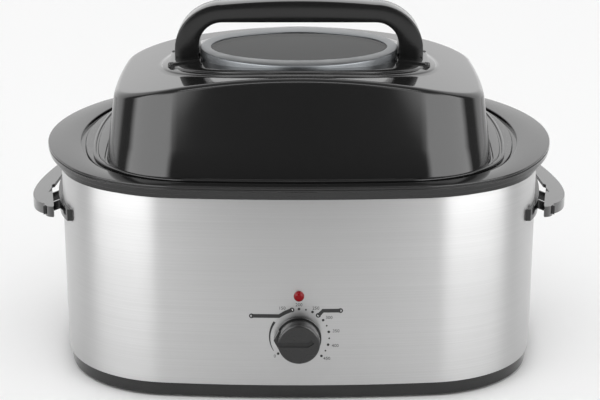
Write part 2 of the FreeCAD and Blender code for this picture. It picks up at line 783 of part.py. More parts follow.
def rack_bails():
    """Two fixed wire handles that stand on the hoop, one at each end."""
    bails = []
    across = FreeCAD.Rotation(V(1, 0, 0), -90)
    top = dim("bail_top")
    for side in (-1, 1):
        x = side * 186.2
        made = [cylinder("bail_bar_%d" % side, x, -33, top, 2, 66, across)]
        for end, turn in ((-1, FreeCAD.Rotation(V(1, 0, 1), 180)), (1, FreeCAD.Rotation(V(1, 1, 1), 120))):
            name = "%d_%d" % (side, end)
            made.append(cylinder("bail_leg_" + name, x, end * 45, dim("rack_level"), 2,
                                 top - 12 - dim("rack_level")))
            made.append(solid("Torus", "bail_bend_" + name, x, end * 33, top - 12, turn,
                              Radius1=12, Radius2=2, Angle1=-180, Angle2=180, Angle3=90))
        bails.append(combine("MultiFuse", "bail_%d" % side, made))
    return combine("Compound", "rack_bails", bails)


def half_width(shape, x):
    """Half depth of an outline at a distance x from the middle."""
    length, depth, corner, end, front = shape
    centre = corner_centre(length, depth, corner, end, front)
    on_front = depth - front + math.sqrt(front ** 2 - x ** 2)
    touch = centre.x * front / (front - corner)
    if abs(x) <= touch:
        return on_front
    return centre.y + math.sqrt(max(corner ** 2 - (abs(x) - centre.x) ** 2, 0))


def half_length(shape, y):
    length, depth, corner, end, front = shape
    return length - end + math.sqrt(end ** 2 - y ** 2)


# Lid


def dome(label, inset, levels):
    """The lid's crowned dome as a block, smaller all round by the inset."""
    body = new_body(label)
    loft(body, "AdditiveLoft", label + "_walls",
         [(levels[0], grown(DOME, -inset)), (dim("crest_level"), grown(CREST, -inset))])
    radius = dim("crown_radius") - inset
    top = dim("crown_top") - inset
    crown_cut(body, label + "_crown", top, radius)
    fillet(body, label + "_shoulder", dim("shoulder") - inset, lambda edge, middle: on_crown(middle, top, radius))
    return body


def crown_cut(body, name, top, radius):
    """Takes away all above a low arch that runs from left to right."""
    half = 240
    rise = radius - (radius ** 2 - half ** 2) ** 0.5
    corners = [(half, top - rise, 0), (half, top + 60, 0), (-half, top + 60, 0), (-half, top - rise, -radius)]
    return pocket(body, name, 0, 600, [loop(corners)], "XZ_Plane", midplane=True)


def on_crown(point, top, radius):
    middle = V(0, 0, float(top) - float(radius))
    return abs((V(point.x, 0, point.z) - middle).Length - float(radius)) < 0.05


def ellipse_block(label, length, depth, bottom, top):
    plan = solid("Ellipse", label + "_plan", 0, 0, bottom, MajorRadius=length, MinorRadius=depth)
    block = doc.addObject("Part::Extrusion", label)
    block.Base = plan
    block.DirMode = "Custom"
    block.Dir = V(0, 0, 1)
    block.Solid = True
    bind(block, "LengthFwd", Size.of(top) - bottom)
    return block


def below_crown(label, raise_, members):
    """Keeps what lies below an arch parallel to the crown and higher than it by raise_."""
    body = new_body(label)
    pad(body, label + "_slab", 200, dim("crown_top") + 40 - 200, [rectangle(-230, -190, 230, 190)])
    crown_cut(body, label + "_arch", dim("crown_top") + raise_, dim("crown_radius") + raise_)
    return combine("Common", label + "_kept", [members, body])


def lid_shell():
    wall = dim("lid_wall")
    level = dim("flange_level")
    foot = level + 2.4
    outer = dome("dome_outside", Size(0), [foot])
    pad(outer, "lid_brim", level, 2.4, [oblong(BRIM)])
    skirt = grown(PAN, -1.8)
    pad(outer, "lid_skirt", level - 8, 8.5, [oblong(skirt)])
    inner = dome("dome_inside", wall, [foot])
    pad(inner, "drip_lip", level, 2.4, [oblong(grown(PAN, -12))])
    pad(inner, "skirt_space", level - 8, 8, [oblong(grown(skirt, -wall))])
    low_step = below_crown("low_step", dim("step"), ellipse_block(
        "low_plateau", dim("plateau_length"), dim("plateau_depth"), Size(312), Size(344)))
    high_step = below_crown("high_step", dim("step") * 2, ellipse_block(
        "high_plateau", dim("plateau_length") - 8, dim("plateau_depth") - 10, Size(312), Size(346)))
    embossed = combine("MultiFuse", "embossed_dome", [outer, low_step, high_step])
    hollow = combine("Cut", "hollow_dome", [embossed, inner])
    window = ellipse_block("window_hole", dim("ring_length") - 6, dim("ring_depth") - 6, Size(300), Size(360))
    opened = combine("Cut", "windowed_dome", [hollow, window])
    holes = [cylinder("lid_hole_%d" % side, side * HANDLE_FOOT, 0, 300, 2.8, 60) for side in (-1, 1)]
    shell = combine("Cut", "lid_shell", [opened, combine("MultiFuse", "lid_holes", holes)])
    return shell, embossed


def ring_block(label, outer, inner, bottom, top):
    blocks = [ellipse_block(label + "_outside", outer[0], outer[1], bottom, top),
              ellipse_block(label + "_inside", inner[0], inner[1], bottom - 1, top + 1)]
    return combine("Cut", label, blocks)


def window_bezel(embossed):
    """A satin ring that caps the window hole and holds the glass from above."""
    length = dim("ring_length")
    depth = dim("ring_depth")
    glass = (dim("glass_length"), dim("glass_depth"))
    top = dim("bezel_top")
    cap = combine("Cut", "bezel_cap", [ring_block("cap_ring", (length, depth), glass, Size(329), top), embossed])
    skirt = ring_block("bezel_skirt", (length - 6.4, depth - 6.4), glass, Size(332.5), top)
    seat = ellipse_block("glass_seat", glass[0] + 2.3, glass[1] + 2.3, Size(320), top - 1)
    return combine("Cut", "window_bezel", [combine("MultiFuse", "whole_bezel", [cap, skirt]), seat])


def window_glass():
    top = dim("bezel_top") - 1
    return ellipse_block("window_glass", dim("glass_length") + 2, dim("glass_depth") + 2, top - 4, top)


def window_gasket():
    top = dim("bezel_top") - 5
    outer = (dim("glass_length") + 2.3, dim("glass_depth") + 2.3)
    return ring_block("window_gasket", outer, (outer[0] - 4, outer[1] - 4), top - 2.5, top)


def lid_handle(embossed):
    body = new_body("handle_arch")
    out = dim("handle_length")
    inner = dim("handle_inside")
    top = dim("bar_top")
    under = dim("bar_underside")
    foot = 320
    shape = [(out, foot, 0), (out, top - 50, 52), (out - 48, top - 3, 900), (48 - out, top - 3, 52),
             (-out, top - 50, 0), (-out, foot, 0), (-inner, foot, 0), (-inner, under - 26, -26),
             (26 - inner, under, 0), (inner - 26, under, -26), (inner, under - 26, 0), (inner, foot, 0)]
    pad(body, "arch", 0, dim("handle_width"), [loop(shape)], "XZ_Plane", midplane=True)
    fillet(body, "soft_corners", 5.5, lambda edge, middle: edge.BoundBox.YLength < 0.1
           and edge.BoundBox.ZMax > 340)
    for name, side in (("left", -1), ("right", 1)):
        near = side * 111.5
        far = side * 146
        pad(body, name + "_foot", 0, dim("handle_width") + 8,
            [rectangle(min(near, far), foot, max(near, far), 331)], "XZ_Plane", midplane=True)
    pocket(body, "pilots", 310, 41, [circle(side * HANDLE_FOOT, 0, 2.4) for side in (-1, 1)])
    return combine("Cut", "lid_handle", [body, embossed])


def lid_handle_screws():
    """Driven up from inside the lid, one into each foot of the handle."""
    made = [screw("lid_screw_%d" % side, side * HANDLE_FOOT, 0, 320, None, (5, 3), (2.4, 25))
            for side in (-1, 1)]
    return combine("Compound", "lid_handle_screws", made)


def main():
    made = [base(), bottom_plate(), feet(), base_screws(), outer_wrap(), top_rim(), cooking_well(), well_screws(),
            heater_band(), insulation(), heat_shield(), shield_spacers(), thermostat_body(),
            thermostat_bracket(), thermostat_nut(), thermostat_bulb(), indicator_lamp(),
            indicator_lens(), terminal_block(), thermal_fuse(), cord_gland()]
    right = side_handle_right()
    made += [right, side_handle_left(right), side_handle_screws()]
    made += [control_knob(), thermostat_shaft(), roasting_pan(), rack_frame(), rack_bails()]
    shell, embossed = lid_shell()
    made += [shell, window_bezel(embossed), window_glass(), window_gasket(), lid_handle(embossed),
             lid_handle_screws()]
    doc.recompute()
    failed = [thing.Label for thing in doc.Objects if {"Invalid", "Error"} & set(thing.State)]
    if failed:
        raise RuntimeError("not built: " + ", ".join(failed))
    os.makedirs("parts", exist_ok=True)
    for thing in made:
        if thing.Shape.isNull() or not thing.Shape.isValid():
            raise RuntimeError("bad shape: " + thing.Label)
    for thing in made:
        thing.Shape.exportStep("parts/%s.step" % thing.Label)
        box = thing.Shape.BoundBox
        print("%-20s %2d solid %9.0f  x %6.1f..%6.1f  y %6.1f..%6.1f  z %5.1f..%5.1f" % (
            thing.Label, len(thing.Shape.Solids), thing.Shape.Volume,
            box.XMin, box.XMax, box.YMin, box.YMax, box.ZMin, box.ZMax))


main()
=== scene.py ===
import math

import bpy
import numpy as np
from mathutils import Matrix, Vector


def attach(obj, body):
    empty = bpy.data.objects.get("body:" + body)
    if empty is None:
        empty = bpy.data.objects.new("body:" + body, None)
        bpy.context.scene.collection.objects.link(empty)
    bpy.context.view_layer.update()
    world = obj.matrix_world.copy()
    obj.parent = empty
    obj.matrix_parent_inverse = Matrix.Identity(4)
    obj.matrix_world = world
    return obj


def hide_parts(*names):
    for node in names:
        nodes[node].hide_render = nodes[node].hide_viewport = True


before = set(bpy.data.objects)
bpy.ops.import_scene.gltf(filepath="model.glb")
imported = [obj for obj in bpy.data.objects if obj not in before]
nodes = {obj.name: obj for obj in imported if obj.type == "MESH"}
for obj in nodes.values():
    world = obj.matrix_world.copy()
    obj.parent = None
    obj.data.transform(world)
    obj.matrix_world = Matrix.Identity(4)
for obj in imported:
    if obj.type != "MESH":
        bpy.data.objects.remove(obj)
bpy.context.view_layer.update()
scene = bpy.context.scene

# The making below is in millimetres with the oven's own middle at y = 0.
# Meshes are written in metres, moved back by the shift that the CAD has.
mm = 0.001
shift = 4.75

# half length, half depth, then the radii of the corners, the ends and the front
outlines = {
    "rim": (284, 214, 150, 258, 1475),
    "shell": (268, 203.5, 127, 440, 1412),
    "mouth": (247, 199, 122, 300, 1350),
    "pan": (220, 182, 75, 600, 1340),
    "lip": (241.5, 197, 118, 330, 1348),
    "brim": (230.5, 196.8, 118.5, 627, 1340),
    "dome": (211.5, 187, 82.5, 1540, 1880),
    "crest": (199, 134, 74, 1370, 1060),
}
ringSteps = {"end": 12, "corner": 26, "front": 24}


# meshes from arrays


def makeObject(name, points, faces, material, sharp=40):
    # points are an (n, 3) array in millimetres; faces is a list of index arrays, one row per face
    mesh = bpy.data.meshes.new(name)
    points = np.asarray(points, dtype=float)
    placed = (points + [0, shift, 0]) * mm
    sizes = np.concatenate([np.full(len(block), block.shape[1]) for block in faces])
    corners = np.concatenate([block.ravel() for block in faces])
    mesh.vertices.add(len(placed))
    mesh.vertices.foreach_set("co", placed.ravel())
    mesh.loops.add(len(corners))
    mesh.loops.foreach_set("vertex_index", corners.astype(np.int32))
    mesh.polygons.add(len(sizes))
    starts = np.concatenate([[0], np.cumsum(sizes)[:-1]])
    mesh.polygons.foreach_set("loop_start", starts.astype(np.int32))
    mesh.update(calc_edges=True)
    mesh.validate()
    mesh.polygons.foreach_set("use_smooth", np.ones(len(mesh.polygons), dtype=bool))
    mesh.set_sharp_from_angle(angle=math.radians(sharp))
    piece = bpy.data.objects.new(name, mesh)
    scene.collection.objects.link(piece)
    mesh.materials.append(material)
    return piece


def gridFaces(rows, columns, closed=False):
    # quads between neighbours in a stack of closed rows; closed joins the last row to the first
    i = np.arange(rows if closed else rows - 1)
    j = np.arange(columns)
    a, b = np.meshgrid(i, j, indexing="ij")
    a2, b2 = (a + 1) % rows, (b + 1) % columns
    quads = [a * columns + b, a * columns + b2, a2 * columns + b2, a2 * columns + b]
    return np.stack([q.ravel() for q in quads], axis=1)


def ringPiece(name, rings, material, sharp=40):
    # a skin through closed rings of equal count, the last joined to the first
    grid = np.stack(rings)
    faces = gridFaces(grid.shape[0], grid.shape[1], True)
    return makeObject(name, grid.reshape(-1, 3), [faces], material, sharp)


# outlines


def cornerCentre(shape):
    # centre of the arc of the corner radius that touches the end arc and the front arc
    length, depth, corner, end, front = shape
    toFront = np.array([0, depth - front])
    span = np.array([length - end, 0]) - toFront
    size = np.linalg.norm(span)
    along = span / size
    reach = ((front - corner) ** 2 - (end - corner) ** 2 + size ** 2) / (2 * size)
    rise = math.sqrt((front - corner) ** 2 - reach ** 2)
    return toFront + along * reach + np.array([along[1], -along[0]]) * rise


def ringXY(family, grow=0.0):
    # a bowed oblong: the end, corner and front arcs of a quarter, mirrored round
    shape = [value + grow for value in outlines[family]]
    length, depth, corner, end, front = shape
    cx, cy = cornerCentre(shape)
    near = math.atan2(cy, cx - length + end)
    far = math.atan2(cy - depth + front, cx)
    arcs = [(length - end, 0, end, 0, near, ringSteps["end"]),
            (cx, cy, corner, near, far, ringSteps["corner"]),
            (0, depth - front, front, far, math.pi / 2, ringSteps["front"])]
    parts = []
    for x, y, radius, start, stop, steps in arcs:
        angle = np.linspace(start, stop, steps + 1)[:-1]
        parts.append(np.stack([x + radius * np.cos(angle), y + radius * np.sin(angle)], axis=1))
    quarter = np.concatenate(parts + [np.array([[0, depth]])])
    left = quarter[::-1] * [-1, 1]
    return np.concatenate([quarter[:-1], left[:-1], -quarter[:-1], -left[:-1]])


def ring(family, grow, z):
    flat = ringXY(family, grow)
    return np.column_stack([flat, np.full(len(flat), float(z))])


def rounded(corners, radii, steps=5):
    # a profile (family, grow, z) whose corners are eased; the ease is an arc between the two sides
    out = []
    count = len(corners)
    for index, (family, grow, z) in enumerate(corners):
        radius = radii[index]
        if not radius:
            out.append((family, grow, z))
            continue
        here = np.array([grow, z], dtype=float)
        before = offsetFrom(corners[index - 1], corners[index])
        after = offsetFrom(corners[(index + 1) % count], corners[index])
        toBefore = before / np.linalg.norm(before)
        toAfter = after / np.linalg.norm(after)
        half = math.acos(np.clip(toBefore @ toAfter, -1, 1)) / 2
        nearest = min(np.linalg.norm(before), np.linalg.norm(after))
        cut = min(radius / math.tan(half), 0.48 * nearest)
        size = cut * math.tan(half)
        bisector = (toBefore + toAfter) / np.linalg.norm(toBefore + toAfter)
        centre = here + bisector * size / math.sin(half)
        start = here + toBefore * cut - centre
        stop = here + toAfter * cut - centre
        sweep = math.pi - 2 * half
        turn = math.copysign(1, start[0] * stop[1] - start[1] * stop[0])
        for step in range(steps + 1):
            angle = turn * sweep * step / steps
            c, s = math.cos(angle), math.sin(angle)
            spot = centre + [c * start[0] - s * start[1], s * start[0] + c * start[1]]
            out.append((family, spot[0], spot[1]))
    return out


def offsetFrom(other, here):
    # from a profile corner to its neighbour, measured at the front, whatever outline each is on
    gap = outlines[other[0]][1] + other[1] - outlines[here[0]][1] - here[1]
    return np.array([gap, other[2] - here[2]], dtype=float)


def profilePiece(name, corners, radii, material):
    return ringPiece(name, [ring(*spot) for spot in rounded(corners, radii)], material)


def carry(piece, body, slot, *cadNodes):
    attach(piece, body)
    if cadNodes:
        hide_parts(*cadNodes)


# finishes


socketNames = {
    "color": "Base Color", "metallic": "Metallic", "roughness": "Roughness", "ior": "IOR",
    "specular": "Specular IOR Level", "anisotropic": "Anisotropic",
    "transmission": "Transmission Weight",
}


def newMaterial(name, **sockets):
    material = bpy.data.materials.new(name)
    material.use_nodes = True
    shader = material.node_tree.nodes["Principled BSDF"]
    for socket, value in sockets.items():
        shader.inputs[socketNames[socket]].default_value = value
    return material, material.node_tree, shader


def grey(value):
    return (value, value, value, 1.0)


def asColor(value):
    return value if isinstance(value, tuple) else grey(value)


def noise(tree, scale, stretch=(1, 1, 1), detail=3.0):
    # noise on the object's own coordinates, drawn out by stretch
    where = tree.nodes.new("ShaderNodeTexCoord")
    mapping = tree.nodes.new("ShaderNodeMapping")
    mapping.inputs["Scale"].default_value = stretch
    pattern = tree.nodes.new("ShaderNodeTexNoise")
    pattern.inputs["Scale"].default_value = scale
    pattern.inputs["Detail"].default_value = detail
    tree.links.new(where.outputs["Object"], mapping.inputs["Vector"])
    tree.links.new(mapping.outputs["Vector"], pattern.inputs["Vector"])
    return pattern.outputs["Fac"]


def ramp(tree, fac, stops):
    # the two end stops exist already and are set before any other is added between them
    node = tree.nodes.new("ShaderNodeValToRGB")
    elements = node.color_ramp.elements
    elements[0].position, elements[1].position = stops[0][0], stops[-1][0]
    elements[0].color, elements[1].color = asColor(stops[0][1]), asColor(stops[-1][1])
    for place, value in stops[1:-1]:
        elements.new(place).color = asColor(value)
    tree.links.new(fac, node.inputs["Fac"])
    return node.outputs["Color"]


def spread(tree, fac, low, high, start=0.3, stop=0.7):
    node = tree.nodes.new("ShaderNodeMapRange")
    limits = {"From Min": start, "From Max": stop, "To Min": low, "To Max": high}
    for socket, value in limits.items():
        node.inputs[socket].default_value = value
    tree.links.new(fac, node.inputs["Value"])
    return node.outputs["Result"]


def bump(tree, shader, height, strength, distance):
    node = tree.nodes.new("ShaderNodeBump")
    node.inputs["Strength"].default_value = strength
    node.inputs["Distance"].default_value = distance
    tree.links.new(height, node.inputs["Height"])
    tree.links.new(node.outputs["Normal"], shader.inputs["Normal"])


def brushedSteel(name, tone=0.62, rough=(0.3, 0.38), grain=(4, 4, 1400), drawn=0.0):
    # fine level scratches: noise that hardly changes along x and y and quickly along z;
    # drawn stretches the reflections up and down, as level brushing does
    material, tree, shader = newMaterial(name, metallic=1.0, anisotropic=drawn)
    scratch = noise(tree, 1.0, grain)
    shades = ramp(tree, scratch, [(0.3, tone * 0.95), (0.7, tone * 1.04)])
    tree.links.new(shades, shader.inputs["Base Color"])
    tree.links.new(spread(tree, scratch, rough[0], rough[1]), shader.inputs["Roughness"])
    bump(tree, shader, scratch, 0.04, 0.0001)
    if drawn:
        tangent = tree.nodes.new("ShaderNodeTangent")
        tangent.direction_type = "RADIAL"
        tangent.axis = "Z"
        shader.inputs["Anisotropic Rotation"].default_value = 0.25
        tree.links.new(tangent.outputs["Tangent"], shader.inputs["Tangent"])
    return material


def glossBlack(name, tone=0.012, rough=(0.07, 0.13)):
    # moulded or enamelled black: faint slow waves and a trace of dust in the gloss
    material, tree, shader = newMaterial(name, ior=1.5)
    slow = noise(tree, 14.0, (1, 1, 1), 2.0)
    fine = noise(tree, 900.0, (1, 1, 1), 2.0)
    shades = ramp(tree, fine, [(0.35, tone * 0.85), (0.7, tone * 1.2)])
    tree.links.new(shades, shader.inputs["Base Color"])
    tree.links.new(spread(tree, slow, rough[0], rough[1]), shader.inputs["Roughness"])
    bump(tree, shader, fine, 0.008, 0.0001)
    return material


def clouded(tree, shader, color, rough, cloud):
    # the colour and its gloss drift a little with a cloud of noise
    low = tuple(value * 0.85 for value in color) + (1.0,)
    shades = ramp(tree, cloud, [(0.3, low), (0.7, color + (1.0,))])
    tree.links.new(shades, shader.inputs["Base Color"])
    tree.links.new(spread(tree, cloud, rough[0], rough[1]), shader.inputs["Roughness"])


def plainMetal(name, color, rough=(0.3, 0.45), scale=60.0):
    material, tree, shader = newMaterial(name, metallic=1.0)
    clouded(tree, shader, color, rough, noise(tree, scale, (1, 1, 1), 4.0))
    return material


def plainPlastic(name, color, rough=(0.35, 0.5), scale=300.0):
    material, tree, shader = newMaterial(name, ior=1.5)
    cloud = noise(tree, scale)
    clouded(tree, shader, color, rough, cloud)
    bump(tree, shader, cloud, 0.05, 0.0001)
    return material


def speckledEnamel(name):
    # black enamel with pale flecks: Voronoi cells whose centres carry small dots
    material, tree, shader = newMaterial(name, ior=1.5, roughness=0.12)
    where = tree.nodes.new("ShaderNodeTexCoord")
    cells = tree.nodes.new("ShaderNodeTexVoronoi")
    cells.inputs["Scale"].default_value = 260.0
    tree.links.new(where.outputs["Object"], cells.inputs["Vector"])
    fleck = ramp(tree, cells.outputs["Distance"], [(0.10, grey(0.22)), (0.2, grey(0.012))])
    tree.links.new(fleck, shader.inputs["Base Color"])
    tree.links.new(spread(tree, noise(tree, 20.0), 0.1, 0.18), shader.inputs["Roughness"])
    return material


print("finishes")
shellSteel = brushedSteel("brushedWrap", 0.52, drawn=0.75)
wellSteel = brushedSteel("wellSteel", 0.5, (0.3, 0.42), (30, 30, 60))
rimBlack = glossBlack("rimBlack")
lidBlack = glossBlack("lidBlack", 0.010, (0.06, 0.11))
gripBlack = glossBlack("gripBlack", 0.008, (0.13, 0.18))
knobBlack = glossBlack("knobBlack", 0.012, (0.2, 0.28))
enamel = speckledEnamel("speckledEnamel")
zinc = plainMetal("zincPlate", (0.55, 0.54, 0.5))
satinRing = plainMetal("satinRing", (0.175, 0.184, 0.192), (0.3, 0.38), 40.0)
wireChrome = plainMetal("platedWire", (0.75, 0.75, 0.75), (0.1, 0.2))
foil = plainMetal("foilBand", (0.6, 0.58, 0.55), (0.35, 0.5), 90.0)
copper = plainMetal("copperTube", (0.72, 0.42, 0.28), (0.25, 0.4))
rubber = plainPlastic("footRubber", (0.03, 0.03, 0.03), (0.6, 0.75))
phenolic = plainPlastic("phenolicCase", (0.16, 0.09, 0.05))
nylon = plainPlastic("paleNylon", (0.7, 0.7, 0.66))
wool = plainPlastic("mineralWool", (0.62, 0.55, 0.42), (0.9, 1.0), 500.0)
smokyGlass = newMaterial("clearGlass", roughness=0.02, ior=1.08, specular=0.1, transmission=1.0,
                         color=(0.12, 0.13, 0.13, 1))[0]
redLens = newMaterial("redLens", roughness=0.12, ior=1.35, specular=0.3,
                      color=(0.2, 0.001, 0.004, 1))[0]

carried = {
    "base": rimBlack, "bottom_plate": zinc, "feet": rubber, "base_screws": zinc,
    "outer_wrap": shellSteel, "top_rim": rimBlack, "cooking_well": wellSteel, "well_screws": zinc,
    "heater_band": foil, "insulation": wool, "heat_shield": zinc, "shield_spacers": zinc,
    "thermostat_body": phenolic, "thermostat_bracket": zinc, "thermostat_nut": zinc,
    "thermostat_bulb": copper, "indicator_lamp": nylon, "indicator_lens": redLens,
    "terminal_block": nylon, "thermal_fuse": nylon, "cord_gland": rimBlack,
    "side_handle_left": gripBlack, "side_handle_right": gripBlack, "side_handle_screws": zinc,
    "control_knob": knobBlack, "thermostat_shaft": zinc, "roasting_pan": enamel,
    "rack_frame": wireChrome, "rack_bails": wireChrome, "lid_shell": lidBlack,
    "window_bezel": satinRing, "window_glass": smokyGlass, "window_gasket": rubber,
    "lid_handle": gripBlack, "lid_handle_screws": zinc,
}
for node, material in carried.items():
    nodes[node].data.materials.clear()
    nodes[node].data.materials.append(material)

# wrap, base and rim

print("housing")
wrapSizes = {"low": 17.5, "high": 232, "wall": 1.0, "edge": 0.3}
wrapLow, wrapHigh, wrapWall = wrapSizes["low"], wrapSizes["high"], wrapSizes["wall"]
wrapLoop = [("shell", 0, wrapLow), ("shell", 0, wrapHigh),
            ("shell", -wrapWall, wrapHigh), ("shell", -wrapWall, wrapLow)]
wrap = profilePiece("outerWrap", wrapLoop, [0.45] + [wrapSizes["edge"]] * 3, shellSteel)
carry(wrap, "housing", "brushed_shell", "outer_wrap")

# lap is the part that stands up inside the wrap
baseSizes = {"low": 2, "high": 17.5, "inset": -3, "inside": -6, "foot": 2.4,
             "lap": -1.4, "lapLow": 17.6, "lapTop": 25.5}
baseLoop = [("shell", baseSizes["inset"], baseSizes["low"]),
            ("shell", baseSizes["inset"], baseSizes["high"]),
            ("shell", baseSizes["lap"], baseSizes["lapLow"]),
            ("shell", baseSizes["lap"], baseSizes["lapTop"]),
            ("shell", baseSizes["inside"], baseSizes["lapTop"]),
            ("shell", baseSizes["inside"], baseSizes["low"])]
baseRounds = [baseSizes["foot"], 0.8, 0, 0.5, 0.5, 0.6]
basePiece = profilePiece("baseRing", baseLoop, baseRounds, rimBlack)
carry(basePiece, "housing", "black_plastic", "base")

# from the top down: the top face, a groove round the edge, a skirt that steps in twice, and
# inside it a wall, and the ledge under the pan's flange; plate is the level of that ledge's
# top and of the top plate's underside
rimSizes = {"top": 241.8, "grooveTop": 239.6, "grooveLow": 238.6, "groove": 0.9, "skirtTop": 237.2,
            "stepTop": 236.2, "stepLow": 232, "inset": 4.3, "insetTop": 231.6, "bottom": 227,
            "plate": 237.5, "wall": 8, "wallLow": 229, "ledgeLow": 234.5, "ledgeOut": 3,
            "ledgeIn": 7.2, "steelGap": 0.4, "clear": 0.7}
rimTop, rimGroove, rimPlate = rimSizes["top"], rimSizes["groove"], rimSizes["plate"]
rimLoop = [
    ("mouth", 0, rimPlate), ("mouth", 0, rimTop), ("rim", 0, rimTop),
    ("rim", 0, rimSizes["grooveTop"]), ("rim", -rimGroove, rimSizes["grooveTop"]),
    ("rim", -rimGroove, rimSizes["grooveLow"]), ("rim", 0, rimSizes["grooveLow"]),
    ("rim", 0, rimSizes["skirtTop"]), ("rim", -rimGroove, rimSizes["stepTop"]),
    ("rim", -rimGroove, rimSizes["stepLow"]), ("rim", -rimSizes["inset"], rimSizes["insetTop"]),
    ("rim", -rimSizes["inset"], rimSizes["bottom"]),
    ("shell", rimSizes["steelGap"], rimSizes["bottom"]),
    ("shell", rimSizes["steelGap"], rimSizes["wallLow"]),
    ("rim", -rimSizes["wall"], rimSizes["wallLow"]), ("rim", -rimSizes["wall"], rimPlate),
    ("mouth", rimSizes["ledgeOut"], rimPlate), ("mouth", rimSizes["ledgeOut"], rimSizes["ledgeLow"]),
    ("pan", rimSizes["ledgeIn"], rimSizes["ledgeLow"]), ("pan", rimSizes["ledgeIn"], rimPlate),
]
rimRounds = [0.4, 1.2, 1.6, 0.35, 0.1, 0.1, 0.35, 0.6, 0.6, 0.9, 0.5, 0.9,
             0.3, 0, 0, 0, 0, 0, 0.2, 0.5]


def pushedOut(points, family, grow):
    # moves points that lie inside an outline out to it, straight away from the middle
    limit = ringXY(family, grow)
    turn = np.arctan2(limit[:, 1], limit[:, 0])
    order = np.argsort(turn)
    reach = np.interp(np.arctan2(points[:, 1], points[:, 0]), turn[order],
                      np.hypot(limit[:, 0], limit[:, 1])[order], period=2 * math.pi)
    scale = np.maximum(1, reach / np.hypot(points[:, 0], points[:, 1]))
    return points * np.column_stack([scale, scale, np.ones(len(scale))])


rimRings = []
for spot in rounded(rimLoop, rimRounds):
    under = spot[2] < wrapSizes["high"]
    row = ring(*spot)
    rimRings.append(pushedOut(row, "shell", rimSizes["clear"]) if under else row)
rimPiece = ringPiece("topRim", rimRings, rimBlack)
carry(rimPiece, "housing", "black_plastic", "top_rim")

# pan

panSizes = {"floor": 44, "wall": 1.4, "taper": 9, "bend": 24, "flangeLow": 237.9,
            "flangeTop": 240.3, "flangeEase": 0.7, "steps": 9}


def bowlRings(family, grow, floor, top, taper, bend, steps):
    # a wall that leans in by taper on its way down, then a quarter-round bend onto a flat floor
    lean = math.atan2(taper, top - floor)
    rings = []
    for angle in np.linspace(math.pi / 2, lean, steps):
        inset = taper * (1 - bend / (top - floor)) + bend - bend * math.cos(angle)
        rings.append((family, grow - inset, floor + bend - bend * math.sin(angle)))
    rings.append((family, grow, top))
    return rings


floorLow, wall, ease = panSizes["floor"], panSizes["wall"], panSizes["flangeEase"]
low, high = panSizes["flangeLow"], panSizes["flangeTop"]
outside = bowlRings("pan", wall, floorLow, low, panSizes["taper"], panSizes["bend"],
                    panSizes["steps"])
inside = bowlRings("pan", 0, floorLow + wall, high - ease, panSizes["taper"],
                   panSizes["bend"] - wall, panSizes["steps"])
lip = [("lip", -ease, low), ("lip", 0, low + ease), ("lip", 0, high - ease), ("lip", -ease, high),
       ("pan", 1.6, high), ("pan", 0.5, high - 0.3)]
rings = [ring(*spot) for spot in outside + lip + inside[::-1]]


def closeEnd(name, rings, material, centres, sharp=40):
    # a skin through rings whose first and last are each closed by a fan to a middle point
    grid = np.stack(rings)
    count, columns = grid.shape[:2]
    points = np.concatenate([grid.reshape(-1, 3), np.array(centres, dtype=float)])
    j = np.arange(columns)
    after = (j + 1) % columns
    start, middle = (count - 1) * columns, count * columns
    first = np.stack([np.full(columns, middle), after, j], axis=1)
    last = np.stack([np.full(columns, middle + 1), start + j, start + after], axis=1)
    return makeObject(name, points, [gridFaces(count, columns), first, last], material, sharp)


pan = closeEnd("roastingPan", rings, enamel, [(0, 0, floorLow), (0, 0, floorLow + wall)])
carry(pan, "pan", "pan_enamel", "roasting_pan")

# lid

print("lid")
lidSizes = {
    "foot": 243, "crest": 340, "crown": 336.5, "crownRadius": 780, "shoulder": 9, "wall": 1.8,
    "drip": -12, "skirtLow": 232.6, "skirt": -1.8, "flangeLow": 240.6, "flangeTop": 243.2,
    "bead": 243.6, "groove": 241.8, "footGroove": 241.9, "lowStep": (155, 128),
    "highStep": (147, 118), "step": 1.5, "slant": 1.6, "hole": (105, 95), "holeEdge": 2.7,
}


def crownZ(x, raised=0.0):
    # the low arch that runs from left to right over the lid
    radius = lidSizes["crownRadius"]
    return lidSizes["crown"] - radius + np.sqrt(radius ** 2 - x ** 2) + raised


def ellipseRing(angle, size, z):
    x, y = size[0] * np.cos(angle), size[1] * np.sin(angle)
    return np.column_stack([x, y, z(x) if callable(z) else np.full(len(x), float(z))])


